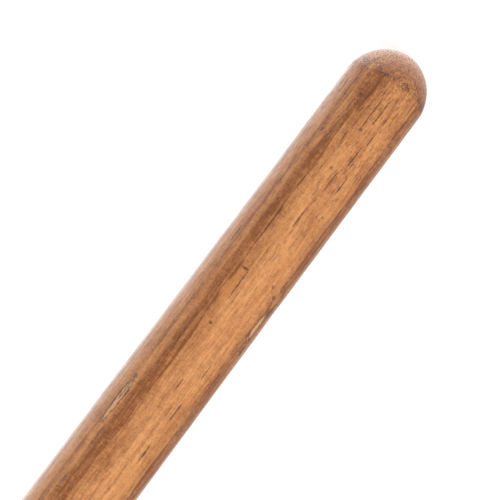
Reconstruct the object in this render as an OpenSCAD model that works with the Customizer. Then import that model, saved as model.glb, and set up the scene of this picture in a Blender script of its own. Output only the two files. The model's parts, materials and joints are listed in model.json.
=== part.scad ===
// Adjustable wooden underarm crutch, standing upright.
// +Z runs up the leg, X runs across the two bows, Y is the thickness.
// The origin is the lowest point of the foot. Millimetres.

/* [Leg] */
// Diameter of the round foot, where a ferrule is pushed on
foot_d = 25; // [22:0.5:28]
// Height of the rounded end of the foot
dome_h = 14.2; // [10:0.2:18]
// Length of the true cylinder above the rounded end
foot_seat = 46; // [30:1:60]
// Diameter of the leg above the foot's slight taper
leg_d = 26.2; // [25:0.1:30]
// Length of leg that stays round below the flats
leg_round = 230; // [180:5:280]
// Thickness of the leg across its two flats
leg_flat = 21; // [18:0.5:22]

/* [Height stops] */
// Distance between neighbouring bolt holes
stop_pitch = 25; // [20:1:28]
// Number of places that the leg and the handgrip can be set to
stops = 7; // [3:2:7]

/* [Bows] */
// Thickness of a bow, across the crutch
bow_t = 19; // [16:0.5:22]
// Width of a bow, front to back
bow_w = 25; // [22:0.5:28]
// Clear space between the bows at the handgrip
bow_gap = 115; // [100:1:130]
// Angle at which a bow leaves the leg
bend_angle = 9.5; // [8:0.5:12]
// Radius of both bends of a bow
bend_r = 400; // [250:10:450]

/* [Top] */
// Height of the middle of the underarm pad
pad_top = 1300; // [1250:5:1400]
// Length of the wooden saddle
saddle_l = 215; // [190:5:240]
// Width of the wooden saddle, front to back
saddle_w = 38; // [34:1:44]
// Thickness of the wooden saddle
saddle_t = 30; // [26:1:34]
// Radius of the saddle's hollow top
saddle_r = 382; // [300:2:500]
// Thickness of the pad's filling
filling_t = 10; // [9:1:14]
// Thickness of the pad's leather
leather_t = 2; // [1.5:0.5:3]

/* [Handgrip] */
// Diameter of the handgrip at its middle
grip_d = 33; // [28:1:36]
// Diameter of the handgrip at its ends
grip_end_d = 26; // [22:1:28]

/* [Hardware] */
// Diameter of the bolts
bolt_d = 6; // [5:0.5:6]
// Diameter of the holes that the bolts pass through
hole_d = 7; // [6.5:0.1:8]
// Outer diameter of the washers
washer_d = 17; // [14:0.5:18]
// Thickness of the washers
washer_t = 1.4; // [1:0.1:2]

/* [Hidden] */
$fn = 64;

wood = "#c98f5a";
pale_wood = "#d2a06c";
steel = "#8b8c8e";
brass = "#b8934e";
hide = "#6a4028";
fibre = "#b7a27c";

fit_gap = 0.05;       // between wooden faces that slide or are glued
soft_gap = 0.3;       // round soft pieces
edge_r = 4;           // rounding of the wooden edges
arc_steps = 5;        // points in each rounded corner
clear = 1;            // how far a cutter runs past a face

stop_travel = stop_pitch * (stops - 1) / 2;
bolt_spacing = 3 * stop_pitch;
end_wood = 30;        // wood left beyond the last hole of a piece
foot_clear = 25;      // least height of the bows' feet above the round part of the leg
bow_foot = leg_round + foot_clear + stop_travel;
lower_bolt_z = bow_foot + end_wood;
upper_bolt_z = lower_bolt_z + bolt_spacing;
leg_top = upper_bolt_z + stop_travel + end_wood;

// A bow runs up beside the leg, leans out, and straightens again at the handgrip.
bow_x = leg_flat / 2 + fit_gap + bow_t / 2;
bow_out_x = bow_gap / 2 + bow_t / 2;
bend_clear = 15;      // straight bow above the upper bolt
bend_start = upper_bolt_z + bend_clear;
lean_run = bow_out_x - bow_x - 2 * bend_r * (1 - cos(bend_angle));
lean_l = lean_run / sin(bend_angle);
bend_end = bend_start + 2 * bend_r * sin(bend_angle) + lean_l * cos(bend_angle);
grip_clear = 20;      // straight bow below its lowest handgrip hole
grip_z = ceil(bend_end + stop_travel + grip_clear);

// The saddle, its filling and its leather are parts of rings round one centre.
pad_t = filling_t + leather_t + soft_gap;
arc_z = pad_top + saddle_r - pad_t;
leather_drop = 14;    // how far the leather comes down the saddle's sides
tack_inset = 6;       // from the leather's lower edge up to the tacks
tack_r = saddle_r + leather_drop - tack_inset;
tack_count = 11;      // on each side
tenon_d = 16;
tenon_l = 20;
tenon_root = 10;      // length of the tenon's cylinder inside the bow
screw_d = 4.4;
screw_l = 46;
screw_head_r = 4.4;
thread_depth = 0.6;

bolt_head_t = 3.6;
bolt_head_d = 13;
thread_out = 3;       // bolt showing beyond the nut
nut_h = 7;
nut_d = 12.5;
wing_reach = 14.5;
wing_t = 2.4;

leg_half_stack = bow_x + bow_t / 2;
grip_half_stack = bow_out_x + bow_t / 2;

// ---- shapes ----

// Corners of a rounded rectangle, w by h, centred.
function rounded_points(w, h, r) = [
    for (c = [0 : 3], i = [0 : arc_steps])
        let (
            a = 90 * c + 90 * i / arc_steps,
            sx = (c == 0 || c == 3) ? 1 : -1,
            sy = (c < 2) ? 1 : -1
        )
        [sx * (w / 2 - r) + r * cos(a), sy * (h / 2 - r) + r * sin(a)]
];

module rounded(w, h, r) {
    polygon(rounded_points(w, h, r));
}

// Turns a shape drawn up +Z so that it lies along +X.
module along_x() {
    rotate([0, 90, 0]) children();
}

// A cylinder along X, centred on the crutch's middle plane.
module cross_hole(d, l) {
    along_x() cylinder(d = d, h = l, center = true);
}

// Part of a ring in the XZ plane, swept from the angle from to the angle from + sweep.
module ring_part(r, from, sweep) {
    rotate([90, 0, 0])
        rotate([0, 0, from])
            rotate_extrude(angle = sweep)
                translate([r, 0]) children();
}

// ---- leg ----

module leg_turning() {
    dome = [
        for (i = [0 : 12])
            let (a = 90 * i / 12)
            [foot_d / 2 * sin(a), dome_h * (1 - cos(a))]
    ];
    taper_end = leg_round - 10;
    chamfer = 2;
    rotate_extrude()
        polygon(concat(dome, [
            [foot_d / 2, dome_h + foot_seat],
            [leg_d / 2, taper_end],
            [leg_d / 2, leg_top - chamfer],
            [leg_d / 2 - chamfer, leg_top],
            [0, leg_top]
        ]));
}

// Cuts a flat on the +X side that runs out of the round leg in a curve.
module leg_flat_cut() {
    runout_r = 60;
    translate([leg_flat / 2, -leg_d, leg_round])
        cube([leg_d, 2 * leg_d, leg_top]);
    translate([leg_flat / 2 + runout_r, 0, leg_round])
        rotate([90, 0, 0]) cylinder(r = runout_r, h = 2 * leg_d, center = true);
}

module leg() {
    color(pale_wood) difference() {
        leg_turning();
        leg_flat_cut();
        mirror([1, 0, 0]) leg_flat_cut();
        for (z = [lower_bolt_z - stop_travel : stop_pitch : upper_bolt_z + stop_travel + clear])
            translate([0, 0, z]) cross_hole(hole_d, 2 * leg_d);
    }
}

// ---- bows ----

module bow_section(proud) {
    rounded(bow_t + 2 * proud, bow_w + 2 * proud, edge_r);
}

// A bend overlaps the straights at both its ends, standing a hair proud of them.
module bow_bend(from) {
    proud = 0.02;
    lap_l = 0.3;
    lap = lap_l / bend_r * 180 / PI;
    ring_part(bend_r, from - lap, bend_angle + 2 * lap) bow_section(proud);
}

module bow_sweep() {
    translate([bow_x, 0, bow_foot])
        linear_extrude(bend_start - bow_foot) bow_section(0);
    translate([bow_x + bend_r, 0, bend_start])
        bow_bend(180 - bend_angle);
    translate([
        bow_x + bend_r * (1 - cos(bend_angle)),
        0,
        bend_start + bend_r * sin(bend_angle)
    ])
        rotate([0, bend_angle, 0]) linear_extrude(lean_l) bow_section(0);
    translate([bow_out_x - bend_r, 0, bend_end])
        bow_bend(-bend_angle);
    translate([bow_out_x, 0, bend_end])
        linear_extrude(pad_top - bend_end) bow_section(0);
}

// Thins the outer side of a bow's lower end.
module bow_toe_cut() {
    toe_h = 18;
    toe_depth = 9;
    translate([bow_x + bow_t / 2, 0, bow_foot + toe_h])
        rotate([0, atan(toe_depth / toe_h), 0])
            translate([0, -bow_w, -2 * toe_h])
                cube([bow_t, 2 * bow_w, 2 * toe_h]);
}

// Height of the saddle's underside above a bow.
function underside_z(x) = arc_z - sqrt(pow(saddle_r + saddle_t, 2) - x * x);

module tenon(extra) {
    translate([bow_out_x, 0, underside_z(bow_out_x) - tenon_root])
        cylinder(d = tenon_d + extra, h = tenon_root + tenon_l + extra);
}

// The hole that a saddle screw cuts its thread in.
module pilot_hole() {
    translate([bow_out_x, 0, seat_z(bow_out_x) - clear - screw_l])
        cylinder(d = screw_d - 2 * thread_depth, h = screw_l + clear);
}

module bow() {
    color(wood) difference() {
        union() {
            difference() {
                bow_sweep();
                saddle_space();
            }
            tenon(0);
        }
        bow_toe_cut();
        for (z = [lower_bolt_z, upper_bolt_z])
            translate([bow_x, 0, z]) cross_hole(hole_d, 2 * bow_t);
        for (z = [grip_z - stop_travel : stop_pitch : grip_z + stop_travel + clear])
            translate([bow_out_x, 0, z]) cross_hole(hole_d, 2 * bow_t);
        pilot_hole();
    }
}

module bow_right() {
    bow();
}

module bow_left() {
    mirror([1, 0, 0]) bow();
}

// ---- saddle and pad ----

// A curved slab between two radii round the saddle's centre, with rounded ends in plan.
// width is front to back, and grow is how much longer than the saddle it is at each end.
module curved_slab(r_in, r_out, width, grow, corner) {
    reach = saddle_l / 2 + grow;
    sweep = 2 * asin((reach + clear) / r_in);
    intersection() {
        translate([0, 0, arc_z])
            ring_part((r_in + r_out) / 2, -90 - sweep / 2, sweep)
                rounded(r_out - r_in, width, corner);
        translate([0, 0, pad_top - 3 * saddle_t])
            linear_extrude(6 * saddle_t)
                rounded(2 * reach, width, width / 2 - clear);
    }
}

// Everything above the saddle's curved underside, used to cut the bows to it.
module saddle_space() {
    translate([0, 0, arc_z])
        rotate([90, 0, 0])
            cylinder(r = saddle_r + saddle_t + fit_gap, h = 2 * saddle_w, center = true, $fn = 400);
}

function seat_z(x) = arc_z - sqrt(saddle_r * saddle_r - x * x);

module at_screws() {
    for (x = [-bow_out_x, bow_out_x])
        translate([x, 0, seat_z(x) - clear]) children();
}

module screw_shape(extra) {
    head_h = 2.6;
    tip_h = 8;
    tip_r = 0.4;
    rotate([180, 0, 0]) rotate_extrude() polygon([
        [0, 0],
        [screw_head_r + extra, 0],
        [screw_d / 2 + extra, head_h + extra],
        [screw_d / 2 + extra, screw_l - tip_h],
        [tip_r + extra, screw_l + extra],
        [0, screw_l + extra]
    ]);
}

module saddle() {
    color(wood) difference() {
        curved_slab(saddle_r, saddle_r + saddle_t, saddle_w, 0, edge_r + 2);
        tenon(2 * fit_gap);
        mirror([1, 0, 0]) tenon(2 * fit_gap);
        at_screws() {
            screw_shape(fit_gap);
            cylinder(r = screw_head_r + fit_gap, h = 3 * clear);
        }
    }
}

module saddle_screws() {
    slot_w = 1.1;
    slot_d = 1.2;
    color(steel) at_screws() difference() {
        screw_shape(0);
        cube([saddle_w, slot_w, 2 * slot_d], center = true);
    }
}

module filling_slab(extra) {
    inset = 3;
    curved_slab(
        saddle_r - soft_gap - filling_t - extra,
        saddle_r - soft_gap + extra,
        saddle_w - 2 * inset + 2 * extra,
        extra - inset,
        edge_r
    );
}

module pad_filling() {
    color(fibre) filling_slab(0);
}

module pad_cover() {
    side = leather_t + soft_gap;
    color(hide) difference() {
        curved_slab(
            saddle_r - pad_t,
            saddle_r + leather_drop,
            saddle_w + 2 * side,
            side,
            edge_r + leather_t
        );
        filling_slab(soft_gap / 2);
        curved_slab(
            saddle_r - soft_gap,
            saddle_r + saddle_t + clear,
            saddle_w + 2 * soft_gap,
            soft_gap,
            edge_r
        );
    }
}

// A dome-headed tack, driven along -Z, with the underside of its head at the origin.
module tack() {
    head_r = 4.3;
    head_h = 2;
    pin_r = 0.9;
    pin_l = 12;
    point_l = 3;
    dome = [
        for (i = [0 : 6])
            let (a = 90 * i / 6)
            [head_r * cos(a), head_h * sin(a)]
    ];
    rotate_extrude() polygon(concat(dome, [[0, -pin_l], [pin_r, point_l - pin_l], [pin_r, 0]]));
}

module pad_tacks() {
    half_w = saddle_w / 2 + leather_t + soft_gap;
    end_gap = 18;
    last = asin((saddle_l / 2 - end_gap) / tack_r);
    color(brass) for (i = [0 : tack_count - 1])
        let (a = -last + 2 * last * i / (tack_count - 1))
        translate([tack_r * sin(a), 0, arc_z - tack_r * cos(a)])
            for (side = [-1, 1])
                translate([0, side * half_w, 0]) rotate([-90 * side, 0, 0]) tack();
}

// ---- hardware ----

// A bolt along +X with a slotted round head; its head bears on the plane x = 0.
module bolt(shank_l) {
    slot_w = 1.4;
    slot_d = 1.5;
    chamfer = 0.8;
    dome = [
        for (i = [0 : 8])
            let (a = 90 * i / 8)
            [bolt_head_d / 2 * sin(a), -bolt_head_t * cos(a)]
    ];
    color(steel) difference() {
        along_x() rotate_extrude() polygon(concat(dome, [
            [bolt_d / 2, 0],
            [bolt_d / 2, shank_l - chamfer],
            [bolt_d / 2 - chamfer, shank_l],
            [0, shank_l]
        ]));
        translate([-bolt_head_t, 0, 0])
            cube([2 * slot_d, 2 * bolt_head_d, slot_w], center = true);
    }
}

module washer() {
    color(steel) along_x() difference() {
        cylinder(d = washer_d, h = washer_t);
        translate([0, 0, -clear]) cylinder(d = bolt_d + 0.4, h = washer_t + 2 * clear);
    }
}

// A wing nut whose flat side is at x = 0 and whose wings reach out and away from it.
module wing_nut() {
    lobe_r = 4.2;
    root_r = 1.6;
    shoulder_r = 1;
    tip_x = 13;
    top_r = nut_d / 2 - 1.6;
    color(steel) difference() {
        union() {
            along_x() rotate_extrude()
                polygon([[0, 0], [nut_d / 2, 0], [nut_d / 2, 2], [top_r, nut_h], [0, nut_h]]);
            for (side = [0, 180])
                rotate([side, 0, 0]) rotate([90, 0, 0])
                    linear_extrude(wing_t, center = true) hull() {
                        translate([root_r + 1, top_r - root_r])
                            circle(r = root_r, $fn = 24);
                        translate([nut_h - shoulder_r, top_r - 2 * shoulder_r])
                            circle(r = shoulder_r, $fn = 24);
                        translate([tip_x - lobe_r, wing_reach - lobe_r])
                            circle(r = lobe_r, $fn = 32);
                    }
        }
        cross_hole(bolt_d + 2 * fit_gap, 4 * nut_h);
    }
}

// Places of the pieces on one bolt, given the half width of the wood it clamps.
module on_head_side(half) {
    translate([-half - washer_t, 0, 0]) children();
}

module on_nut_side(half) {
    translate([half, 0, 0]) children();
}

function bolt_length(half) = 2 * half + 2 * washer_t + nut_h + thread_out;

module lower_bolt() {
    translate([0, 0, lower_bolt_z])
        on_head_side(leg_half_stack) bolt(bolt_length(leg_half_stack));
}

module lower_head_washer() {
    translate([0, 0, lower_bolt_z]) on_head_side(leg_half_stack) washer();
}

module lower_nut_washer() {
    translate([0, 0, lower_bolt_z]) on_nut_side(leg_half_stack) washer();
}

module lower_wing_nut() {
    translate([washer_t, 0, lower_bolt_z]) on_nut_side(leg_half_stack) wing_nut();
}

module upper_bolt() {
    translate([0, 0, upper_bolt_z])
        on_head_side(leg_half_stack) bolt(bolt_length(leg_half_stack));
}

module upper_head_washer() {
    translate([0, 0, upper_bolt_z]) on_head_side(leg_half_stack) washer();
}

module upper_nut_washer() {
    translate([0, 0, upper_bolt_z]) on_nut_side(leg_half_stack) washer();
}

module upper_wing_nut() {
    translate([washer_t, 0, upper_bolt_z]) on_nut_side(leg_half_stack) wing_nut();
}

// ---- handgrip ----

module handgrip() {
    end_gap = 0.5;
    half = bow_gap / 2 - end_gap;
    collar = 6;
    round_over = 2;
    swell = [
        for (i = [-8 : 8])
            let (u = i / 8)
            [grip_end_d / 2 + (grip_d - grip_end_d) / 2 * cos(90 * u), u * (half - collar)]
    ];
    outline = concat(
        [[0, -half], [grip_end_d / 2 - round_over, -half], [grip_end_d / 2, round_over - half]],
        swell,
        [[grip_end_d / 2, half - round_over], [grip_end_d / 2 - round_over, half], [0, half]]
    );
    color(pale_wood) translate([0, 0, grip_z]) difference() {
        along_x() rotate_extrude() polygon(outline);
        cross_hole(hole_d, bow_gap + 2 * clear);
    }
}

module grip_bolt() {
    translate([0, 0, grip_z])
        on_head_side(grip_half_stack) bolt(bolt_length(grip_half_stack));
}

module grip_head_washer() {
    translate([0, 0, grip_z]) on_head_side(grip_half_stack) washer();
}

module grip_nut_washer() {
    translate([0, 0, grip_z]) on_nut_side(grip_half_stack) washer();
}

module grip_wing_nut() {
    translate([washer_t, 0, grip_z]) on_nut_side(grip_half_stack) wing_nut();
}

leg();
bow_left();
bow_right();
saddle();
saddle_screws();
pad_filling();
pad_cover();
pad_tacks();
lower_bolt();
lower_head_washer();
lower_nut_washer();
lower_wing_nut();
upper_bolt();
upper_head_washer();
upper_nut_washer();
upper_wing_nut();
handgrip();
grip_bolt();
grip_head_washer();
grip_nut_washer();
grip_wing_nut();
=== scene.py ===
import json
import math

import bpy
import bmesh
import numpy as np
from mathutils import Matrix, Vector, noise


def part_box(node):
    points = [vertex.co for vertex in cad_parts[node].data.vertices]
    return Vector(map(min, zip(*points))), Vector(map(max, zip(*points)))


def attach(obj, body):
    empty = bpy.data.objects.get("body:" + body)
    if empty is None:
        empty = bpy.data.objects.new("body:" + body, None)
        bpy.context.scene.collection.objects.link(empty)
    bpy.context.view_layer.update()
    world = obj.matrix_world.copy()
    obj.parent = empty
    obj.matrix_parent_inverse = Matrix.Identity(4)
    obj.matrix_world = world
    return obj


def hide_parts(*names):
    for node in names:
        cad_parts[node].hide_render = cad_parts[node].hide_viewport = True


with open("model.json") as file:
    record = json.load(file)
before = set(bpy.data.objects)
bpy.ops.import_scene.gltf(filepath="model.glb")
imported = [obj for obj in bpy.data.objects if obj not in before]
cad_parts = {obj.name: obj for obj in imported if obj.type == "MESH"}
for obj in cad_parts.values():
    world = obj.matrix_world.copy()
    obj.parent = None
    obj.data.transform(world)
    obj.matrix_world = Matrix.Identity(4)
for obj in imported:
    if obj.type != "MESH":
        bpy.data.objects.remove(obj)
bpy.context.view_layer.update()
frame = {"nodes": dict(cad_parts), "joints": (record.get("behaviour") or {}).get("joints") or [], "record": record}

MM = 0.001
NODES = frame["nodes"]
RECORD = frame["record"]
BODY_OF = {n: b for b, members in RECORD["behaviour"]["bodies"].items() for n in members}
MOUNTS = {m["name"]: m for m in RECORD["mounts"]}
RANGES = {j["name"]: j.get("range_m") for j in frame["joints"]}

# ---- dimensions of the design that no node's box shows ----

DOME_H = 14.2 * MM
LEG_ROUND_END = 230 * MM
RUNOUT_R = 60 * MM
HOLE_R = 3.5 * MM
STOP_PITCH = 25 * MM
FIT_GAP = 0.05 * MM
BEND_ANGLE = math.radians(9.5)
BEND_R = 400 * MM
BEND_CLEAR = 15 * MM
BOW_T = 19 * MM
BOW_W = 25 * MM
EDGE_R = 4 * MM
TOE_H = 18 * MM
TOE_DEPTH = 9 * MM
TENON_R = 8 * MM
TENON_L = 20 * MM
SADDLE_R = 382 * MM
SADDLE_T = 30 * MM
SADDLE_EDGE_R = 6 * MM
FILLING_T = 10 * MM
FILLING_INSET = 3 * MM
LEATHER_T = 1.8 * MM
LEATHER_DROP = 14 * MM
HEM_T = 0.9 * MM
TACK_R = 390 * MM
TACK_COUNT = 11
TACK_HOLD_R = 4.5 * MM
BOLT_R = 3 * MM
BOLT_HEAD_R = 6.5 * MM
BOLT_HEAD_T = 3.6 * MM
BOLT_THREAD_L = 26 * MM
NUT_H = 7 * MM
SCREW_R = 2.2 * MM
SCREW_HEAD_R = 4.4 * MM
SCREW_L = 45 * MM


def box_of(node):
    """A CAD node's lowest and highest corners, and its middle."""
    low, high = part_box(node)
    return low, high, (low + high) / 2


LEG_HIGH = box_of("leg")[1]
LEG_TOP = LEG_HIGH.z
LEG_UPPER_R = LEG_HIGH.y
FLAT_HALF = max(abs(v.co.x) for v in NODES["leg"].data.vertices if v.co.z > LEG_TOP - MM)
FOOT_R = MOUNTS["foot"]["dims"]["r_mm"] * MM
SEAT_TOP = DOME_H + MOUNTS["foot"]["dims"]["length_mm"] * MM
LOWER_Z = box_of("lower_bolt")[2].z
UPPER_Z = box_of("upper_bolt")[2].z
GRIP_Z = box_of("grip_bolt")[2].z
TRAVEL = RANGES["leg_height"][1]
BOW_LOW, BOW_HIGH, _ = box_of("bow_right")
BOW_X = FLAT_HALF + FIT_GAP + BOW_T / 2
BOW_OUT_X = BOW_HIGH.x - BOW_T / 2
SADDLE_LOW, SADDLE_HIGH, _ = box_of("saddle")
SADDLE_HALF_L = SADDLE_HIGH.x
SADDLE_HALF_W = SADDLE_HIGH.y
ARC_Z = SADDLE_LOW.z + SADDLE_R + SADDLE_T


# ---- mesh helpers ----

def add_object(name, data):
    made = bpy.data.objects.new(name, data)
    bpy.context.scene.collection.objects.link(made)
    return made


def mesh_piece(name, points, faces, smooth_angle=40):
    """A new mesh object with outward normals and smooth shading that breaks at sharp edges."""
    mesh = bpy.data.meshes.new(name)
    mesh.from_pydata([tuple(p) for p in points], [], faces)
    work = bmesh.new()
    work.from_mesh(mesh)
    bmesh.ops.recalc_face_normals(work, faces=work.faces)
    work.to_mesh(mesh)
    work.free()
    piece = add_object(name, mesh)
    shade(piece, smooth_angle)
    return piece


def shade(piece, smooth_angle=40):
    piece.data.shade_smooth()
    piece.data.set_sharp_from_angle(angle=math.radians(smooth_angle))


def loft(rings, round_rings=False):
    """Points and faces of a skin over closed rings that all have the same number of points."""
    size = len(rings[0])
    points = [p for ring in rings for p in ring]
    faces = []
    for row in range(len(rings) if round_rings else len(rings) - 1):
        a, b = row * size, (row + 1) % len(rings) * size
        faces += [(a + i, a + (i + 1) % size, b + (i + 1) % size, b + i) for i in range(size)]
    return points, faces


def capped(rings):
    """A loft whose two ends are closed by fans round the middle of the end ring."""
    points, faces = loft(rings)
    size = len(rings[0])
    for start, ring in ((0, rings[0]), (len(points) - size, rings[-1])):
        faces += [(start + i, start + (i + 1) % size, len(points)) for i in range(size)]
        points.append(tuple(np.mean(np.array(ring), axis=0)))
    return points, faces


def turned_rings(profile, segments, place):
    """Rings of a profile of (radius, height) turned about an axis; place(a, b, h) puts each point."""
    angles = np.linspace(0, 2 * math.pi, segments, endpoint=False)
    return [[place(r * math.cos(t), r * math.sin(t), h) for t in angles] for r, h in profile]


def along_x(centre, way=1):
    """Places a turned shape so that its axis runs from centre along +X, or along -X if way is -1."""
    return lambda a, b, h: (centre[0] + way * h, centre[1] + a, centre[2] + b)


def along_z(centre, way=1):
    """Places a turned shape so that its axis runs from centre along +Z, or along -Z if way is -1."""
    return lambda a, b, h: (centre[0] + a, centre[1] + b, centre[2] + way * h)


def joined(parts):
    """Points and faces of several (points, faces) pairs as one mesh of separate shells."""
    points, faces = [], []
    for part, part_faces in parts:
        faces += [tuple(i + len(points) for i in face) for face in part_faces]
        points += list(part)
    return points, faces


def rod(radius, low, high, place, segments=40):
    """A plain solid rod, for cutting holes and joining on."""
    return capped(turned_rings([(radius, low), (radius, high)], segments, place))


def arc_profile(centre, radius, start, end, steps):
    """Points (r, h) on an arc of a profile; the angles are in degrees from the r axis."""
    angles = np.radians(np.linspace(start, end, steps + 1))
    return [(centre[0] + radius * math.cos(t), centre[1] + radius * math.sin(t)) for t in angles]


def bake(piece):
    """Applies the piece's modifiers to its mesh."""
    graph = bpy.context.evaluated_depsgraph_get()
    mesh = bpy.data.meshes.new_from_object(piece.evaluated_get(graph))
    piece.modifiers.clear()
    piece.data = mesh


def combine(piece, parts, operation="DIFFERENCE", smooth_angle=40):
    """Takes solids away from the piece, or joins them to it."""
    tool = mesh_piece("tool", *joined(parts))
    modifier = piece.modifiers.new("combine", "BOOLEAN")
    modifier.operation = operation
    modifier.solver = "EXACT"
    modifier.object = tool
    bake(piece)
    bpy.data.objects.remove(tool)
    shade(piece, smooth_angle)


def waver(point, scale, seed=0.0):
    """Smooth noise from -1 to 1 at a point in metres, with features about scale metres wide."""
    return noise.noise(Vector(point) / scale + Vector((seed, 2 * seed, 3 * seed)))


def set_grain(piece, function):
    """Stores where each point lies in the wood: across, across and along the fibres, in metres."""
    values = np.array([function(v.co) for v in piece.data.vertices], np.float32)
    attribute = piece.data.attributes.new("grain", "FLOAT_VECTOR", "POINT")
    attribute.data.foreach_set("vector", values.ravel())


def add_piece(piece, node, material):
    """Gives a piece its material and the body of a CAD node."""
    piece.data.materials.clear()
    piece.data.materials.append(material)
    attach(piece, BODY_OF[node])


def finish_piece(piece, node, material):
    """Gives a piece its material and its CAD node's body, and hides the node that it stands for."""
    add_piece(piece, node, material)
    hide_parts(node)


# ---- material helpers ----

class Graph:
    """A node tree. Most methods add nodes and return the socket that the result comes out of."""

    def __init__(self, name, library=bpy.data.materials):
        self.material = library.new(name)
        self.material.use_nodes = True
        self.tree = self.material.node_tree
        self.tree.nodes.clear()

    def node(self, kind, values=None, **settings):
        made = self.tree.nodes.new(kind)
        for key, value in settings.items():
            setattr(made, key, value)
        for key, value in (values or {}).items():
            self.put(made.inputs[key], value)
        return made

    def put(self, socket, value):
        if isinstance(value, bpy.types.NodeSocket):
            self.tree.links.new(value, socket)
        else:
            socket.default_value = value

    def math(self, operation, a, b=0.0, c=0.0):
        return self.node("ShaderNodeMath", {0: a, 1: b, 2: c}, operation=operation).outputs[0]

    def chain(self, operation, terms):
        total = terms[0]
        for term in terms[1:]:
            total = self.math(operation, total, term)
        return total

    def add(self, *terms):
        return self.chain("ADD", terms)

    def times(self, *terms):
        return self.chain("MULTIPLY", terms)

    def most(self, *terms):
        return self.chain("MAXIMUM", terms)

    def signed(self, value, gain):
        """Turns noise round 0.5 into noise round 0, multiplied by gain."""
        return self.times(self.add(value, -0.5), gain)

    def vector(self, operation, a, b=(0, 0, 0)):
        return self.node("ShaderNodeVectorMath", {0: a, 1: b}, operation=operation).outputs["Vector"]

    def in_mm(self, point):
        return self.vector("MULTIPLY", point, (1000, 1000, 1000))

    def split(self, point):
        return self.node("ShaderNodeSeparateXYZ", {0: point}).outputs

    def joined(self, x, y, z):
        return self.node("ShaderNodeCombineXYZ", {0: x, 1: y, 2: z}).outputs[0]

    def in_sizes(self, point, sizes, seed):
        """The point in units of one size or of a size for each axis, moved by the seed."""
        scaled = self.vector("MULTIPLY", point, tuple(1 / s for s in np.broadcast_to(sizes, 3)))
        return self.vector("ADD", scaled, (seed, seed * 1.7, seed * 0.6))

    def noise(self, point, sizes, seed, detail=2.0, rough=0.5):
        values = {"Vector": self.in_sizes(point, sizes, seed), "Scale": 1.0}
        values.update({"Detail": detail, "Roughness": rough})
        return self.node("ShaderNodeTexNoise", values).outputs["Fac"]

    def cells(self, point, sizes, seed, feature="F1"):
        """Distance to the nearest of scattered points, or to the edge between two cells."""
        values = {"Vector": self.in_sizes(point, sizes, seed), "Scale": 1.0}
        return self.node("ShaderNodeTexVoronoi", values, feature=feature).outputs["Distance"]

    def fade(self, value, low, high, out_low=0.0, out_high=1.0):
        """Runs smoothly from out_low to out_high as value goes from low to high."""
        values = {0: value, 1: low, 2: high, 3: out_low, 4: out_high}
        made = self.node("ShaderNodeMapRange", values, interpolation_type="SMOOTHSTEP")
        return made.outputs[0]

    def ramp(self, value, stops):
        made = self.node("ShaderNodeValToRGB", {0: value})
        band = made.color_ramp
        while len(band.elements) < len(stops):
            band.elements.new(0.5)
        for element, (place, colour) in zip(band.elements, stops):
            element.position = place
            element.color = (*colour, 1)
        return made.outputs["Color"]

    def mix(self, share, a, b, mode="MIX"):
        made = self.node("ShaderNodeMix", {}, data_type="RGBA", blend_type=mode)
        for index, value in ((0, share), (6, a), (7, b)):
            self.put(made.inputs[index], (*value, 1) if isinstance(value, tuple) else value)
        return made.outputs[2]

    def paint(self, colour, *layers):
        """Lays paints over a colour; each is where it lies, how strong it is and its own colour."""
        for place, strength, tone in layers:
            colour = self.mix(self.times(place, strength), colour, tone)
        return colour

    def bump(self, height):
        """The surface direction over a relief given in mm."""
        made = self.node("ShaderNodeBump", {"Height": height, "Distance": MM, "Strength": 1.0})
        return made.outputs["Normal"]

    def pointiness(self):
        """Under 0.5 in the piece's hollows and over 0.5 on its edges."""
        return self.node("ShaderNodeNewGeometry").outputs["Pointiness"]

    def surface(self, **inputs):
        """Ends the tree in a Principled surface; an input's spaces are written as underscores."""
        values = {key.replace("_", " "): value for key, value in inputs.items()}
        shader = self.node("ShaderNodeBsdfPrincipled", values)
        self.node("ShaderNodeOutputMaterial", {0: shader.outputs[0]})
        return self.material


# ---- wood ----

# Marks that use has left on the foot: height above the tip, distance round the leg from the -Y
# side towards +X, length along the leg and width round it, all in mm.
CHECKS = [
    (21, -3.0, 8.5, 0.4), (19.5, -7.3, 4.5, 0.36), (36, -4.4, 7.0, 0.32), (45.5, -3.1, 8.0, 0.36),
    (44, -6.6, 5.0, 0.4), (59, -2.1, 6.5, 0.32), (109, -7.4, 6.0, 0.28), (124, -7.2, 6.0, 0.4),
    (138.5, -7.0, 6.0, 0.48), (117, -3.0, 3.0, 0.4), (85, 0.4, 10.0, 0.28), (143, 7.0, 8.0, 0.48),
    (126, 8.7, 9.0, 0.48), (158, 7.4, 5.0, 0.56), (73, 10.8, 5.0, 0.4), (52, 9.6, 4.0, 0.32),
    (33, 5.6, 9.0, 0.28), (66, 3.6, 14.0, 0.28), (104, 4.9, 12.0, 0.28), (28, -5.4, 5.0, 0.28),
]
NICKS = [
    (79.8, 1.5, 0.7, 2.1), (98, 0.3, 1.0, 0.9), (81, -11.2, 1.1, 1.4), (84, -14.3, 5.0, 0.8),
    (28, -1.1, 1.2, 0.9), (42, -0.9, 0.9, 0.7), (20, 5.1, 1.2, 0.9), (79, -8.4, 0.9, 0.8),
    (54.7, -7.9, 0.9, 0.7), (34, 8.4, 1.0, 0.9), (58, 6.4, 0.9, 0.8), (98, -14.4, 3.0, 1.2),
]
FLAKES = [(130.5, 8.7, 14.5, 1.4), (90.5, -13.0, 9.5, 1.6)]
PATCHES = [(85.5, 1.9, 11.0, 2.3), (81.5, -13.2, 5.0, 2.2)]

INK = (0.095, 0.026, 0.012)
RUBBED = (0.62, 0.235, 0.05)
BARE_WOOD = (0.66, 0.36, 0.17)
END_GRAIN = (0.5, 0.225, 0.12)
END_PORES = (0.13, 0.042, 0.018)


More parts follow.
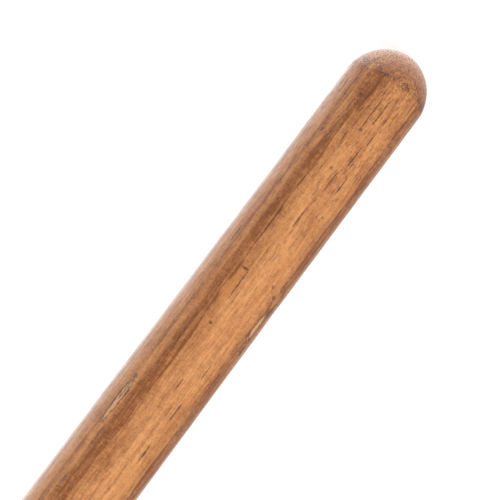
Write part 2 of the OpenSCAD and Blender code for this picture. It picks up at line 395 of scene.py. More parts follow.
def mark(g, around, along, spot, wobble, soft):
    """1 inside an oval mark on the leg's skin, fading to 0 at its ragged edge."""
    height, place, length, width = spot
    u = g.times(g.add(around, -place), 2 / width)
    v = g.times(g.add(along, -height), 2 / length)
    distance = g.math("SQRT", g.add(g.times(u, u), g.times(v, v)))
    return g.fade(g.add(distance, wobble), 1 + soft, 1 - soft)


def year_growth(g, straight, point, pith, edge, ring_w, seed):
    """How dark the wood is: light early growth, then a dark band that ends at a feathered edge.

    Every third year's band is strong. The dark soaks a little way into the next year's wood.
    """
    x, y, _ = g.split(straight)
    sway = g.signed(g.noise(straight, (34, 34, 120), seed + 3, 1), 3.0)
    ripple = g.signed(g.noise(straight, (5, 5, 20), seed + 4, 2), 0.9)
    feather = g.signed(g.noise(point, (0.7, 0.7, 13), seed + 5, 2), 0.9)
    dx, dy = g.add(x, -pith[0]), g.add(y, -pith[1])
    radius = g.math("SQRT", g.add(g.times(dx, dx), g.times(dy, dy)))
    phase = g.times(g.add(radius, -edge, sway, ripple, feather), 1 / ring_w)
    year = g.math("FRACT", phase)
    strength = g.fade(g.math("FLOORED_MODULO", g.math("FLOOR", phase), 3.0), 1.4, 1.6, 0.2, 1.0)
    band = g.times(g.fade(year, 0.36, 0.62), g.fade(year, 1.0, 0.985))
    line = g.times(g.fade(year, 0.9, 0.975), g.fade(year, 1.0, 0.985))
    soaked = g.times(g.fade(year, 0.5, 0.0), g.fade(strength, 0.2, 1.0, 0.42, 0.62))
    heart = g.fade(phase, 0.0, -1.3, 0.0, 0.26)
    return g.add(g.times(band, strength, 0.82), g.times(line, strength, 0.3), soaked, heart)


def open_pores(g, point, z, seed, foot):
    """Pores cut along the grain as dashes; on the foot most of them lie near the tip."""
    grove = g.fade(g.noise(point, (4, 4, 24), seed + 14, 2), 0.44, 0.6, 0.12, 1.0)
    if foot:
        grove = g.times(g.most(grove, g.fade(z, 60.0, 35.0, 0.0, 0.8)), g.fade(z, 55.0, 75.0, 1.0, 0.5))
    width = g.fade(g.noise(point, (1.1, 1.1, 5), seed + 15, 1), 0.35, 0.68, -0.04, -0.2)
    long_pores = g.fade(g.add(g.cells(point, (1.0, 1.0, 17), seed + 16), width), 0.05, -0.02)
    short_pores = g.fade(g.cells(point, (0.62, 0.62, 3.6), seed + 17), 0.3, 0.16)
    hair = g.fade(g.cells(point, (0.5, 0.5, 12), seed + 18), 0.2, 0.1)
    return g.most(
        g.times(long_pores, g.fade(grove, 0.3, 0.8, 0.25, 0.95)), g.times(short_pores, grove, 0.75),
        g.times(hair, 0.4),
    )


def foot_wear(g, straight, stain, colour, depth, roughness):
    """Adds what use has done to the foot; returns the new colour, depth and roughness."""
    x, y, z = g.split(straight)
    soiled = g.times(g.fade(z, 60.0, 5.0), g.fade(stain, 0.0, 0.6, 0.0, 0.3))
    colour = g.mix(soiled, colour, (0.82, 0.72, 0.62), "MULTIPLY")
    around = g.times(g.math("ARCTAN2", x, g.times(y, -1.0)), FOOT_R / MM)
    ragged = g.add(
        g.signed(g.noise(straight, (0.8, 0.8, 1.5), 41.0, 2, 0.6), 1.6),
        g.signed(g.noise(straight, (0.25, 0.25, 0.9), 42.0, 1), 0.8),
    )

    def marks(spots, soft=0.3):
        return g.most(*[mark(g, around, z, spot, ragged, soft) for spot in spots])

    faint = g.fade(g.noise(straight, (0.6, 0.6, 1.4), 44.0, 2, 0.6), 0.35, 0.6, 0.25, 1.0)
    cuts = g.times(marks(CHECKS + NICKS), faint)
    flakes = marks(FLAKES, 0.12)
    rims = marks([(h, a, l * 1.2, w + 0.7) for h, a, l, w in FLAKES], 0.15)
    rims = g.times(rims, g.add(1.0, g.times(flakes, -1.0)))
    rubbed = marks(PATCHES)
    colour = g.paint(colour, (rubbed, 0.5, RUBBED), (rims, 0.75, INK), (flakes, 0.8, BARE_WOOD))
    colour = g.paint(colour, (cuts, 0.8, INK))

    # Ground-in dirt where the end meets the side, and open end grain below it.
    edge_z = g.add(z, g.signed(g.noise(straight, 4, 43.0, 3, 0.6), 9.0))
    end = g.fade(edge_z, 10.5, 6.5)
    dots = g.fade(g.noise(straight, (0.5, 0.5, 0.75), 47.0, 2, 0.6), 0.48, 0.64)
    grime = g.fade(g.noise(straight, 1.6, 48.0, 2), 0.3, 0.6, 0.35, 1.0)
    dots = g.times(dots, g.fade(edge_z, 17.0, 9.0), grime)
    rim = g.times(g.fade(edge_z, 11.6, 10.2), g.fade(edge_z, 8.2, 9.8))
    rim = g.times(rim, g.fade(g.noise(straight, (0.5, 0.5, 0.7), 49.0, 2, 0.6), 0.44, 0.62))
    colour = g.paint(colour, (end, 0.45, END_GRAIN), (dots, 0.8, END_PORES), (rim, 0.75, INK))
    depth = g.add(
        depth, g.times(cuts, -0.35), g.times(flakes, -0.3), g.times(dots, -0.05), g.times(rim, -0.08)
    )
    return colour, depth, g.add(roughness, g.times(end, 0.12), g.times(flakes, 0.25))


def wood(name, tones, pith, edge, ring_w, seed=0.0, foot=False, rough=0.36):
    """Varnished open-pored hardwood.

    tones are the light wood and the dark wood of a year's growth; pith is where the tree's centre
    lay and edge how far from it the first dark band starts, in mm; ring_w is a year's growth in mm.
    """
    g = Graph(name)
    grain = g.node("ShaderNodeAttribute", attribute_name="grain", attribute_type="GEOMETRY")
    straight = g.in_mm(grain.outputs["Vector"])
    x, y, z = g.split(straight)
    lean_x = g.add(g.signed(g.noise(straight, (40, 40, 75), seed + 1, 1), 2.4), x)
    lean_y = g.add(g.signed(g.noise(straight, (40, 40, 60), seed + 2, 1), 2.4), y)
    point = g.joined(lean_x, lean_y, z)

    # Broad streaks, fibres, cloudy patches and the fine figure across the grain.
    broad = g.noise(point, (3.0, 3.0, 130), seed + 7, 2, 0.6)
    streak = g.noise(point, (0.9, 0.9, 38), seed + 8, 3, 0.6)
    fibre = g.noise(point, (0.42, 0.42, 7), seed + 9, 3, 0.65)
    cloud = g.noise(point, (5, 5, 11), seed + 10, 3, 0.6)
    figure = g.noise(point, (2.2, 2.2, 0.7), seed + 11, 2, 0.6)
    blotch = g.noise(point, (1.5, 1.5, 2.6), seed + 20, 3, 0.65)
    grit = g.noise(point, 0.45, seed + 12, 2, 0.7)
    dark = g.add(
        year_growth(g, straight, point, pith, edge, ring_w, seed),
        g.signed(broad, 0.9), g.signed(streak, 1.2), g.signed(cloud, 0.9),
        g.signed(fibre, 1.2), g.signed(figure, 0.75), g.signed(blotch, 1.1), g.signed(grit, 1.5),
    )
    colour = g.mix(g.math("MULTIPLY_ADD", dark, 0.69, 0.22), *tones)
    stain = g.fade(g.noise(point, (2.6, 2.6, 15), seed + 13, 3, 0.6), 0.47, 0.68)
    colour = g.mix(g.times(stain, 0.55), colour, (0.78, 0.64, 0.52), "MULTIPLY")

    pore = open_pores(g, point, z, seed, foot)
    speck = g.fade(g.cells(point, (6.5, 6.5, 8), seed + 19), 0.045, 0.015)
    colour = g.paint(colour, (pore, 0.72, INK), (speck, 0.5, (0.045, 0.033, 0.033)))
    depth = g.add(g.times(pore, -0.14), g.times(speck, -0.04))
    roughness = g.add(rough, g.signed(cloud, 0.2), g.signed(streak, 0.12), g.times(pore, 0.25))
    if foot:
        colour, depth, roughness = foot_wear(g, straight, stain, colour, depth, roughness)

    raised = (g.signed(fibre, 0.03), g.signed(streak, 0.05), g.signed(cloud, 0.14), g.signed(grit, 0.02))
    varnish = g.add(g.times(depth, 0.6), g.signed(cloud, 0.16), g.signed(streak, 0.03))
    return g.surface(
        Base_Color=colour, Roughness=roughness, Normal=g.bump(g.add(depth, *raised)),
        Specular_IOR_Level=0.35, Coat_Weight=0.35, Coat_Roughness=0.22, Coat_Normal=g.bump(varnish),
    )


# ---- leg ----

def leg_base_radius(z):
    """The turned outline of the leg: dome, straight seat for the ferrule, slight taper, chamfer."""
    chamfer = 2 * MM
    if z < DOME_H:
        return FOOT_R * min(1.0, 1.02 * math.sqrt(max(0.0, 1 - (1 - z / DOME_H) ** 2)))
    if z < SEAT_TOP:
        return FOOT_R
    taper_end = LEG_ROUND_END - 10 * MM
    if z < taper_end:
        return FOOT_R + (LEG_UPPER_R - FOOT_R) * (z - SEAT_TOP) / (taper_end - SEAT_TOP)
    return LEG_UPPER_R - max(0.0, z - (LEG_TOP - chamfer))


def leg_flat_limit(z):
    """How far the leg may reach in X at a height, with the flats running out in a curve."""
    below = LEG_ROUND_END - z
    if below <= 0:
        return FLAT_HALF
    if below >= RUNOUT_R:
        return LEG_UPPER_R
    return FLAT_HALF + RUNOUT_R - math.sqrt(RUNOUT_R ** 2 - below ** 2)


def leg_wear(spot):
    """How far the used surface stands from the turned one, in mm."""
    worn = 0.07 * waver(spot, 26 * MM) + 0.04 * waver(spot, 6 * MM, 5)
    worn += 0.02 * waver((spot[0], spot[1], spot[2] / 3), 1.4 * MM, 9)
    if spot[2] < DOME_H:
        worn += 0.16 * waver(spot, 5 * MM, 3) * (1 - spot[2] / DOME_H)
    return worn - 0.5 * max(0.0, waver(spot, 9 * MM, 15) - 0.42)


def make_leg(material):
    dome = [DOME_H * (1 - math.cos(math.pi / 2 * i / 36)) for i in range(1, 36)]
    fine = list(np.arange(DOME_H, LEG_ROUND_END, 1.0 * MM))
    coarse = list(np.arange(LEG_ROUND_END, LEG_TOP - 3 * MM, 4 * MM))
    profile = [(leg_base_radius(z), z) for z in dome + fine + coarse + [LEG_TOP - 2 * MM, LEG_TOP]]

    def place(a, b, h):
        """Moves a point of the turned leg to its worn place, inside the flats."""
        base = math.hypot(a, b)
        worn = leg_wear((FOOT_R * a / base, FOOT_R * b / base, h)) * MM
        grow = 1 + worn * min(1.0, base / (4 * MM)) / base
        limit = leg_flat_limit(h)
        return max(-limit, min(limit, a * grow)), b * grow, h

    leg = mesh_piece("leg_shaft", *capped(turned_rings(profile, 224, place)))
    heights = np.arange(LOWER_Z - TRAVEL, UPPER_Z + TRAVEL + MM, STOP_PITCH)
    combine(leg, [rod(HOLE_R, -30 * MM, 30 * MM, along_x((0, 0, z))) for z in heights])
    set_grain(leg, lambda co: tuple(co))
    finish_piece(leg, "leg", material)


# ---- bows ----

def underside_z(x):
    """Height of the saddle's underside at a distance from the middle."""
    return ARC_Z - math.sqrt((SADDLE_R + SADDLE_T + FIT_GAP) ** 2 - x * x)


def seat_z(x):
    """Height of the saddle's hollow top at a distance from the middle."""
    return ARC_Z - math.sqrt(SADDLE_R ** 2 - x * x)


def bow_path():
    """The right bow's centre line: distance along it, x, z and its angle from upright."""
    step = 0.5 * MM
    arc = BEND_R * BEND_ANGLE
    lean = (BOW_OUT_X - BOW_X - 2 * BEND_R * (1 - math.cos(BEND_ANGLE))) / math.sin(BEND_ANGLE)
    bend_start = UPPER_Z + BEND_CLEAR
    rise = 2 * BEND_R * math.sin(BEND_ANGLE) + lean * math.cos(BEND_ANGLE)
    top = underside_z(BOW_OUT_X + BOW_T / 2) + MM
    lengths = [bend_start - BOW_LOW.z, arc, lean, arc, top - bend_start - rise]
    marks = np.concatenate([[0], np.cumsum(lengths)])
    along = np.arange(0, marks[-1] + step, step)
    angle = np.interp(along, marks, [0, 0, BEND_ANGLE, BEND_ANGLE, 0, 0])
    middle = (angle[1:] + angle[:-1]) / 2
    x = BOW_X + np.concatenate([[0], np.cumsum(np.sin(middle) * step)])
    z = BOW_LOW.z + np.concatenate([[0], np.cumsum(np.cos(middle) * step)])
    return along, x, z, angle


def rounded_outline(width, height, radius, corner_steps=5, side_steps=5):
    """Points round a rounded rectangle centred on the origin, with the outward direction at each."""
    corners = []
    for quarter in range(4):
        cx = (width / 2 - radius) * (1 if quarter in (0, 3) else -1)
        cy = (height / 2 - radius) * (1 if quarter in (0, 1) else -1)
        for i in range(corner_steps + 1):
            t = math.pi / 2 * (quarter + i / corner_steps)
            out = (math.cos(t), math.sin(t))
            corners.append((cx + radius * out[0], cy + radius * out[1], *out))
    points = []
    for here, after in zip(corners, corners[1:] + corners[:1]):
        points.append(here)
        if math.dist(here[:2], after[:2]) > radius:
            for i in range(1, side_steps):
                share = i / side_steps
                points.append(tuple(a + (b - a) * share for a, b in zip(here, after)))
    return points


def make_bow(node, side, material):
    """side is 1 for the bow on +X, which carries the nuts, and -1 for the other."""
    along, xs, zs, angles = bow_path()
    outline = rounded_outline(BOW_T, BOW_W, EDGE_R)
    toe = list(np.arange(1.0 * MM, TOE_H + 2 * MM, 1.5 * MM))
    stations = [0.0, 0.4 * MM] + toe + list(np.arange(TOE_H + 5 * MM, along[-1], 4 * MM))
    rings = []
    for s in stations:
        x, z, angle = (np.interp(s, along, values) for values in (xs, zs, angles))
        shrink = 0.6 * MM if s == 0 else 0.0
        ring = []
        for across, y, out_a, out_y in outline:
            spot = (side * (x + across), y, z)
            worn = 0.06 * waver(spot, 24 * MM, 21) + 0.02 * waver(spot, 5 * MM, 22)
            worn -= 0.7 * abs(out_a * out_y) * max(0.0, waver(spot, 16 * MM, 23) - 0.25)
            grow = worn * MM - shrink
            a, b = across + out_a * grow, y + out_y * grow
            px, pz = x + a * math.cos(angle), z - a * math.sin(angle)
            toe_x = BOW_X + BOW_T / 2 - TOE_DEPTH * max(0.0, BOW_LOW.z + TOE_H - pz) / TOE_H
            if s < TOE_H:
                px = min(px, toe_x)
            ring.append((side * px, b, min(pz, underside_z(px))))
        rings.append(ring)
        if min(p[2] - underside_z(abs(p[0])) for p in ring) >= -1e-9:
            break
    bow = mesh_piece(node, *capped(rings))
    top = (side * BOW_OUT_X, 0, underside_z(BOW_OUT_X))
    combine(bow, [rod(TENON_R, -10 * MM, TENON_L, along_z(top))], "UNION")
    drills = [rod(HOLE_R, -BOW_T, BOW_T, along_x((side * BOW_X, 0, z))) for z in (LOWER_Z, UPPER_Z)]
    heights = np.arange(GRIP_Z - TRAVEL, GRIP_Z + TRAVEL + MM, STOP_PITCH)
    drills += [rod(HOLE_R, -BOW_T, BOW_T, along_x((side * BOW_OUT_X, 0, z))) for z in heights]
    drills.append(rod(SCREW_R - 0.6 * MM, -26 * MM, 30 * MM, along_z(top), 24))
    combine(bow, drills)

    def grain(co):
        x = side * co.x
        near = int(np.argmin((xs - x) ** 2 + (zs - co.z) ** 2))
        dx, dz, t = x - xs[near], co.z - zs[near], angles[near]
        across = dx * math.cos(t) - dz * math.sin(t)
        return side * across, co.y, along[near] + dx * math.sin(t) + dz * math.cos(t)

    set_grain(bow, grain)
    finish_piece(bow, node, material)


# ---- saddle, filling and leather ----

END_STEPS, SIDE_STEPS = 28, 58


def stadium(half_length, half_width, inset=0.0):
    """Points round a long shape with half-round ends, with the outward direction at each."""
    straight = half_length - half_width
    radius = max(half_width - inset, 0.05 * MM)
    points = []
    for side in (1, -1):
        for i in range(END_STEPS):
            t = math.pi * (i / END_STEPS - 0.5)
            out = (side * math.cos(t), side * math.sin(t))
            points.append((side * straight + radius * out[0], radius * out[1], *out))
        for i in range(SIDE_STEPS):
            share = i / SIDE_STEPS
            points.append((side * straight * (1 - 2 * share), side * radius, 0.0, float(side)))
    return points


def bent(x, y, radius):
    """A point of the pad's plan on the cylinder of that radius round the saddle's centre."""
    return x, y, ARC_Z - math.sqrt(radius ** 2 - x * x)


def puck(profile, half_length, half_width):
    """A bent slab whose outline is a stadium. profile holds (inset, radius) from top to underside."""
    rings = []
    for inset, radius in profile:
        rings.append([bent(x, y, radius) for x, y, _, _ in stadium(half_length, half_width, inset)])
    points, faces = loft(rings)
    for start in (0, len(points) - len(rings[0])):
        faces += zipped(start, len(rings[0]))
    return points, faces


def zipped(start, size):
    """Faces that close a stadium's ring straight across, from the tip of one end to the other."""
    tip, half = END_STEPS // 2, size // 2
    at = [start + (tip + k) % size for k in range(size)]
    faces = [(at[0], at[1], at[-1]), (at[half - 1], at[half], at[half + 1])]
    return faces + [(at[k], at[k + 1], at[-k - 1], at[-k]) for k in range(1, half - 1)]


def edge_round(width, top_radius, edge, steps=6, inner=3):
    """Profile of (inset, radius) over a slab's top and round its upper edge."""
    flat = [(width - 2 * MM, top_radius)]
    flat += [(edge + (width - edge) * i / (inner + 1), top_radius) for i in range(inner, 0, -1)]
    turn = [math.pi / 2 * i / steps for i in range(steps + 1)]
    return flat + [(edge * (1 - math.sin(t)), top_radius + edge * (1 - math.cos(t))) for t in turn]


def slab_profile(width, top_radius, bottom_radius, edge):
    """The whole profile of a slab with both its edges rounded."""
    over = edge_round(width, top_radius, edge)
    under = [(inset, top_radius + bottom_radius - radius) for inset, radius in reversed(over)]
    return over + under


def roughen(piece, amount, scale, seed):
    """Moves the surface in and out by smooth noise."""
    vertices = piece.data.vertices
    places = [v.co + v.normal * (amount * waver(v.co, scale, seed)) for v in vertices]
    vertices.foreach_set("co", np.array(places, np.float32).ravel())
    piece.data.update()


def make_saddle(material):
    profile = slab_profile(SADDLE_HALF_W, SADDLE_R, SADDLE_R + SADDLE_T, SADDLE_EDGE_R)
    saddle = mesh_piece("saddle_wood", *puck(profile, SADDLE_HALF_L, SADDLE_HALF_W))
    roughen(saddle, 0.08 * MM, 25 * MM, 31)
    shank_r, head_r = SCREW_R + FIT_GAP, SCREW_HEAD_R + FIT_GAP
    screw_hole = [(shank_r, -22 * MM), (shank_r, -3.4 * MM), (head_r, -0.9 * MM), (head_r, 3 * MM)]
    for x in (-BOW_OUT_X, BOW_OUT_X):
        foot = along_z((x, 0, underside_z(BOW_OUT_X)))
        top = along_z((x, 0, seat_z(BOW_OUT_X)))
        combine(saddle, [rod(TENON_R + FIT_GAP, -6 * MM, TENON_L + FIT_GAP, foot)])
        combine(saddle, [capped(turned_rings(screw_hole, 32, top))])
    set_grain(saddle, lambda co: (co.y, co.z - ARC_Z + SADDLE_R, co.x))
    finish_piece(saddle, "saddle", material)


def make_filling(material):
    half_l, half_w = SADDLE_HALF_L - FILLING_INSET, SADDLE_HALF_W - FILLING_INSET
    bottom = SADDLE_R - 0.3 * MM
    profile = slab_profile(half_w, bottom - FILLING_T + 0.2 * MM, bottom, 4 * MM)
    filling = mesh_piece("felt_filling", *puck(profile, half_l, half_w))
    roughen(filling, 0.12 * MM, 7 * MM, 33)
    finish_piece(filling, "pad_filling", material)


def tack_places():
    """Centre of each tack's head on the side of the saddle: x, z, and which side it is on."""
    last = math.asin((SADDLE_HALF_L - 18 * MM) / TACK_R)
    for i in range(TACK_COUNT):
        angle = last * (2 * i / (TACK_COUNT - 1) - 1)
        for side in (-1, 1):
            yield TACK_R * math.sin(angle), ARC_Z - TACK_R * math.cos(angle), side


def leather_sheet():
    """The leather before it is pulled down: rings from the top's middle line to the lower edge."""
    slack, edge = 1.3 * MM, 7.5 * MM
    half_l, half_w = SADDLE_HALF_L + slack, SADDLE_HALF_W + slack
    top = SADDLE_R - 0.2 * MM - FILLING_T - LEATHER_T / 2
    lower = SADDLE_R + LEATHER_DROP
    profile = edge_round(half_w, top, edge, 7, 4)
    profile += [(0.0, r) for r in np.linspace(top + edge, lower, 10)[1:]]
    rings = []
    for inset, radius in profile:
        ring = []
        drop = max(0.0, (radius - top - edge / 2) / (lower - top))
        for x, y, out_x, out_y in stadium(half_l, half_w, inset):
            turn = math.atan2(out_y, out_x)
            wave = 1 + math.sin(16 * turn + 3 * math.sin(2 * turn))
            pleat = 0.35 * MM * drop * abs(out_x) ** 0.5 * wave
            ring.append(bent(x + out_x * pleat, y + out_y * pleat, radius))
        rings.append(ring)
    return rings


def hold_leather(sheet, last_row):
    """Pins the leather round each tack, and its lower edge less firmly."""
    held = sheet.vertex_groups.new(name="held")
    tacks = list(tack_places())
    for vertex in sheet.data.vertices:
        x, y, z = vertex.co
        if abs(y) < SADDLE_HALF_W - MM and vertex.index < last_row:
            continue
        beside = [(tx, tz) for tx, tz, side in tacks if side * y > 0 or abs(y) < MM]
        at_tack = min(math.dist((x, z), tack) for tack in beside) < TACK_HOLD_R
        if at_tack or vertex.index >= last_row:
            held.add([vertex.index], 1.0 if at_tack else 0.6, "REPLACE")


def simulate_leather(sheet):
    """Runs the sheet as cloth under pressure for 20 frames, and keeps the last one."""
    cloth = sheet.modifiers.new("cloth", "CLOTH")
    settings = cloth.settings
    settings.quality = 8
    settings.mass = 0.2
    settings.tension_stiffness = settings.compression_stiffness = 30
    settings.shear_stiffness = 12
    settings.bending_stiffness = 6
    settings.shrink_min = -0.015
    settings.use_pressure = True
    settings.uniform_pressure_force = 4
    settings.vertex_group_mass = "held"
    settings.effector_weights.gravity = 0
    cloth.collision_settings.use_collision = False
    for step in range(1, 21):
        bpy.context.scene.frame_set(step)
    bake(sheet)
    bpy.context.scene.frame_set(1)


def stretch_leather(rings):
    """Lets the leather swell between its tacks and returns the new rings, eased over neighbours."""
    most_in, most_out, most_moved = -0.1 * MM, 2.2 * MM, 2.5 * MM
    points, faces = loft(rings)
    sheet = mesh_piece("sheet", points, faces + zipped(0, len(rings[0])))
    hold_leather(sheet, len(points) - len(rings[0]))
    simulate_leather(sheet)
    rest = np.array(points)
    normals = np.array([tuple(v.normal) for v in sheet.data.vertices])
    shift = np.array([tuple(v.co) for v in sheet.data.vertices]) - rest
    bpy.data.objects.remove(sheet)
    out = np.sum(shift * normals, axis=1, keepdims=True)
    shift += normals * (np.clip(out, most_in, most_out) - out)
    size = np.linalg.norm(shift, axis=1, keepdims=True)
    shift *= np.minimum(1.0, most_moved / np.maximum(size, 1e-9))
    shift = shift.reshape(len(rings), len(rings[0]), 3)
    for _ in range(3):
        shift = (shift + (np.roll(shift, 1, axis=1) + np.roll(shift, -1, axis=1)) / 2) / 2
        shift[1:-1] = (shift[1:-1] * 2 + shift[:-2] + shift[2:]) / 4
    return rest.reshape(shift.shape) + shift


def ring_normals(rings):
    """The outward direction at each point of a sheet given as rings."""
    grid = np.array(rings)
    around = np.roll(grid, -1, axis=1) - np.roll(grid, 1, axis=1)
    down = np.gradient(grid, axis=0)
    normals = np.cross(down, around)
    normals /= np.maximum(np.linalg.norm(normals, axis=2, keepdims=True), 1e-12)
    flip = np.sum(normals[-1] * (grid[-1] - grid[-1].mean(axis=0)), axis=1).mean() < 0
    return -normals if flip else normals


def thick_strip(grid, normals, low, high, is_band):
    """A closed shell between two distances from a sheet; a band is open in the middle."""
    inner, outer = grid + normals * low, grid + normals * high
    rings = list(outer) + list(inner)[::-1]
    if is_band:
        return loft(rings, True)
    points, faces = loft(rings)
    size = grid.shape[1]
    return points, faces + zipped(0, size) + zipped(len(points) - size, size)


def stitch(middle, along, out):
    """One stitch: a short bent rod that dips into the leather at both ends."""
    length, radius = 2.3 * MM, 0.32 * MM
    side = np.cross(along, out)

    def place(a, b, share):
        lift = radius * (1.1 - 2.2 * share * share)
        return tuple(middle + along * (share * length / 2) + side * a + out * (b + lift))

    return capped(turned_rings([(radius, share) for share in np.linspace(-1, 1, 7)], 6, place))


def make_stitching(line, out, material):
    """A row of stitches along a closed line of points, each with its outward direction."""
    pitch = 3.2 * MM
    steps = np.linalg.norm(np.roll(line, -1, axis=0) - line, axis=1)
    reach = np.concatenate([[0], np.cumsum(steps)])

    def at(values, place):
        closed = np.vstack([values, values[:1]])
        return np.array([np.interp(place % reach[-1], reach, closed[:, k]) for k in range(3)])

    parts = []
    count = int(reach[-1] / pitch)
    for i in range(count):
        place = reach[-1] * i / count
        start, end = at(line, place - MM), at(line, place + MM)
        along = (end - start) / np.linalg.norm(end - start)
        face = at(out, place)
        face -= along * np.dot(face, along)
        parts.append(stitch((start + end) / 2, along, face / np.linalg.norm(face)))
    seam = mesh_piece("cover_stitching", *joined(parts), smooth_angle=80)
    add_piece(seam, "pad_cover", material)


def make_cover(leather, thread):
    rings = stretch_leather(leather_sheet())
    grid, normals = np.array(rings), ring_normals(rings)
    half, hem_rows = LEATHER_T / 2, 8
    hem = len(grid) - hem_rows
    skin = thick_strip(grid, normals, -half, half, False)
    strip = thick_strip(grid[hem:], normals[hem:], half, half + HEM_T, True)
    cover = mesh_piece("leather_cover", *joined([skin, strip]))
    cover.modifiers.new("smooth", "SUBSURF").levels = 1
    bake(cover)
    shade(cover, 60)
    roughen(cover, 0.05 * MM, 4 * MM, 37)
    finish_piece(cover, "pad_cover", leather)
    out = normals[hem + 1]
    seam = grid[hem] * 0.35 + grid[hem + 1] * 0.65 + out * (half + HEM_T)
    make_stitching(seam, out, thread)


def on_side(x, z, side, number):
    """Places a tack's head and pin on the side of the pad, dented and a little off straight."""
    surface = SADDLE_HALF_W + 2.3 * MM
    tilt = 0.05 * math.sin(5.1 * number)

    def place(a, b, h):
        dent = 1 + 0.03 * waver((a + number, b, h), 3 * MM, 39)
        return x + a * dent + tilt * h, side * (surface + h), z + b * dent - 0.6 * tilt * h

    return place


def make_tacks(material):
    head_r, head_h, pin_r, pin_l = 4.3 * MM, 2.0 * MM, 0.9 * MM, 12 * MM
    profile = [(0.1 * MM, -pin_l), (pin_r, 3 * MM - pin_l), (pin_r, 0.0)]
    profile += [(head_r - 0.5 * MM, 0.0), (head_r, -0.25 * MM)]
    profile += [(head_r * math.cos(t), head_h * math.sin(t)) for t in np.linspace(0, 1.5, 8)]
    parts = []
    for number, (x, z, side) in enumerate(tack_places()):
        parts.append(capped(turned_rings(profile, 22, on_side(x, z, side, number))))
    finish_piece(mesh_piece("dome_tacks", *joined(parts)), "pad_tacks", material)


# ---- hardware ----

def threaded(core_r, crest_r, start, end, pitch, place, segments=28, steps=8):
    """Rings of a rod with a helical thread that fades in at start and is chamfered at end."""
    rings = []
    turns = np.linspace(0, 2 * math.pi, segments, endpoint=False)
    for h in np.arange(start, end, pitch / steps):
        fade = min(1.0, (h - start) / (2 * pitch))
        limit = crest_r - max(0.0, h - (end - 0.8 * pitch))
        ring = []
        for t in turns:
            ramp = abs(((h / pitch - t / (2 * math.pi)) % 1.0) * 2 - 1)
            groove = (crest_r - core_r) * min(1.0, 1.4 * ramp) * fade
            r = min(crest_r - groove, limit)
            ring.append(place(r * math.cos(t), r * math.sin(t), h))
        rings.append(ring)
    return rings


def slot_cutter(depth, width, corner, reach, turn, place):
    """A bar through a turned shape's axis, for a screwdriver slot; turn is its angle round the axis."""
    cos, sin = math.cos(turn), math.sin(turn)
    outline = rounded_outline(2 * depth, width, corner, 2, 1)
    return capped([
        [place(r * cos - b * sin, r * sin + b * cos, h) for h, b, _, _ in outline]
        for r in (-reach, reach)
    ])


def make_bolt(node, material):
    low, high, middle = box_of(node)
    seat = low.x + BOLT_HEAD_T
    place = along_x((0, middle.y, middle.z))
    dome = np.linspace(0.03, 1.45, 12)
    profile = [(BOLT_HEAD_R * math.sin(t), seat - BOLT_HEAD_T * math.cos(t)) for t in dome]
    profile += [(BOLT_HEAD_R, seat - 0.3 * MM), (BOLT_HEAD_R - 0.2 * MM, seat)]
    profile += [(BOLT_R, seat), (BOLT_R, high.x - BOLT_THREAD_L)]
    rings = turned_rings(profile, 28, place)
    thread_start = high.x - BOLT_THREAD_L + 0.1 * MM
    rings += threaded(BOLT_R - 0.55 * MM, BOLT_R, thread_start, high.x, 1.0 * MM, place)
    bolt = mesh_piece(node + "_steel", *capped(rings), smooth_angle=35)
    head = along_x((low.x, middle.y, middle.z))
    turn = 0.5 + middle.z * 37
    slot = slot_cutter(2.2 * MM, 1.4 * MM, 0.15 * MM, 1.5 * BOLT_HEAD_R, turn, head)
    combine(bolt, [slot], smooth_angle=35)
    finish_piece(bolt, node, material)


def make_washer(node, material):
    """A pressed washer: rounded on the side that the punch entered, and sharper on the other."""
    low, high, middle = box_of(node)
    outer, bore, thick = (high.z - low.z) / 2, BOLT_R + 0.2 * MM, high.x - low.x
    out = -1 if middle.x < 0 else 1
    face = low.x if out > 0 else high.x
    profile = [(bore, 0.0), (outer - 0.1 * MM, 0.0), (outer, 0.15 * MM)]
    profile += arc_profile((outer - 0.55 * MM, thick - 0.55 * MM), 0.55 * MM, 0, 90, 4)
    profile += arc_profile((bore + 0.35 * MM, thick - 0.35 * MM), 0.35 * MM, 90, 180, 3)
    rings = turned_rings(profile, 64, along_x((face, middle.y, middle.z), out))
    washer = mesh_piece(node + "_steel", *loft(rings, True))
    finish_piece(washer, node, material)


def wing_outline(tip, reach):
    """A wing from its root at the body to its round end, as (height over the flat, distance out)."""
    lobe_r = 4.0 * MM
    centre = (tip - lobe_r - 0.15 * MM, reach - lobe_r - 0.15 * MM)
    root_under = [(1.2 * MM, 2.5 * MM), (0.8 * MM, 5.2 * MM)]
    root_over = [(NUT_H - 0.4 * MM, 4.4 * MM), (NUT_H - 0.9 * MM, 2.5 * MM)]
    return np.array(root_under + arc_profile(centre, lobe_r, -70, 125, 14) + root_over)


